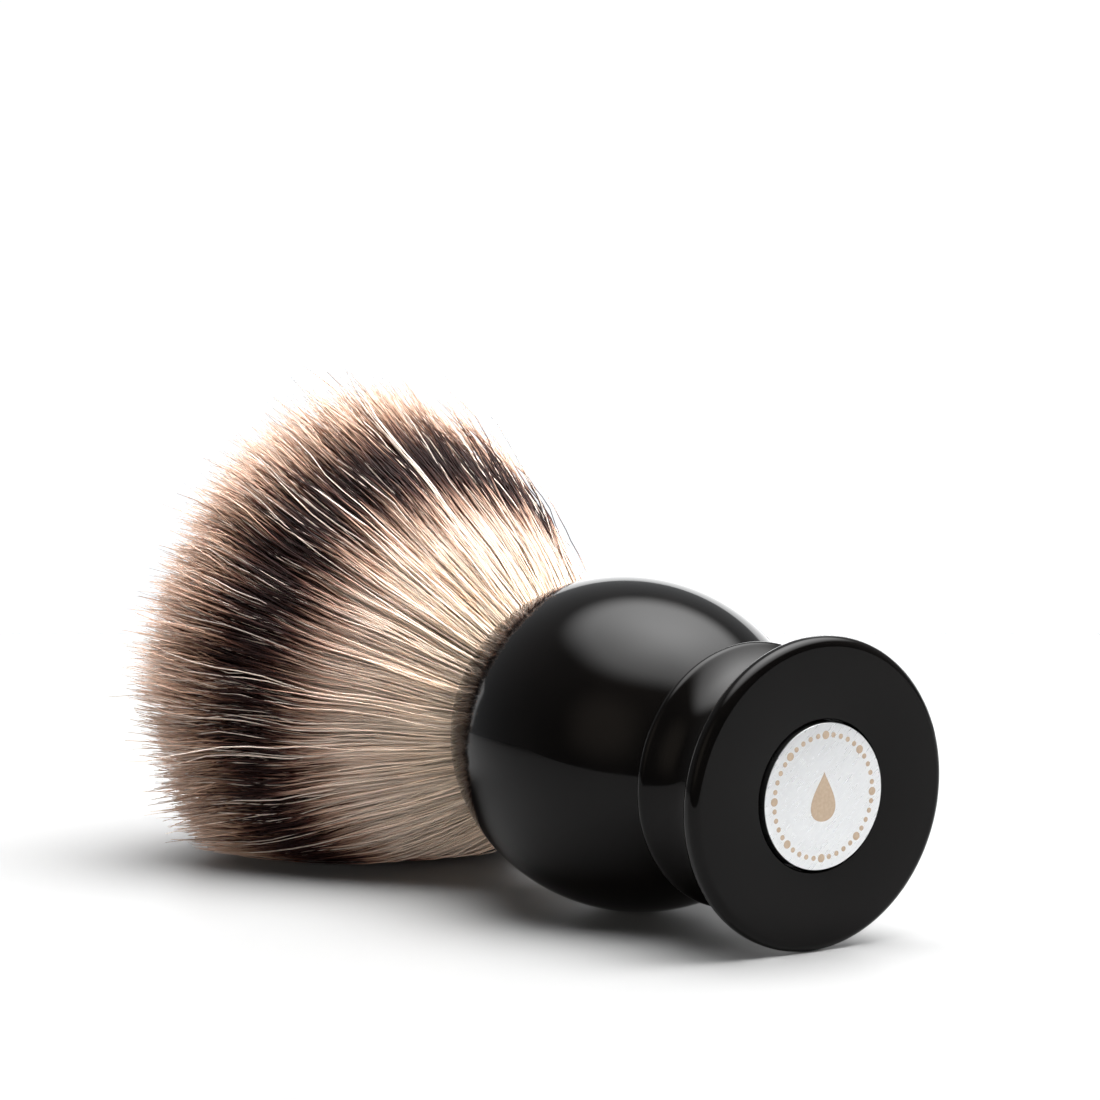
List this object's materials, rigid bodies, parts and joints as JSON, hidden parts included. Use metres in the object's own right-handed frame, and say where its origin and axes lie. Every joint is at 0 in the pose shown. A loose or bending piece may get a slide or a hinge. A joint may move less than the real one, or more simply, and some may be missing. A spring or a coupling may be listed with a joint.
{
  "type": "shaving brush",
  "caption": "Wet-shaving brush with a turned bulb handle, foot flange, metal base medallion and a flared fibre knot on a screw-in head.",
  "frame": {"origin": "centre of the outer face of the base medallion, which is the lowest face when the brush stands", "axes": "+Z along the axis of the handle, from the foot towards the fibre tips; X and Y are any two directions square to it, as the brush is round"},
  "size_m": [0.062, 0.062, 0.11],
  "materials": {
    "handle_resin": "polished",
    "medallion_metal": "satin",
    "adhesive": "matte",
    "insert_brass": "satin",
    "seal_rubber": "matte",
    "collar_plastic": "satin",
    "potting": "satin",
    "thread": "matte",
    "fibres": "satin"
  },
  "bodies": {
    "handle": {"handle_body": "handle_resin", "base_medallion": "medallion_metal", "medallion_adhesive": "adhesive", "threaded_insert": "insert_brass"},
    "seal": {"seal_ring": "seal_rubber"},
    "head": {"head_collar": "collar_plastic", "potting_resin": "potting", "binding_thread": "thread", "fibre_knot": "fibres"}
  },
  "joints": [
    {"name": "head_rise", "type": "slide", "parent": "handle", "child": "seal", "axis": [0, 0, 1], "range_m": [0, 0.012]},
    {"name": "head_unscrew", "type": "hinge", "parent": "seal", "child": "head", "pos_m": [0, 0, 0.0406], "axis": [0, 0, 1], "range_deg": [0, 1440]}
  ],
  "couplings": [
    {"joint": "head_rise", "follows": "head_unscrew", "m_per_rad": 0.00047746}
  ]
}
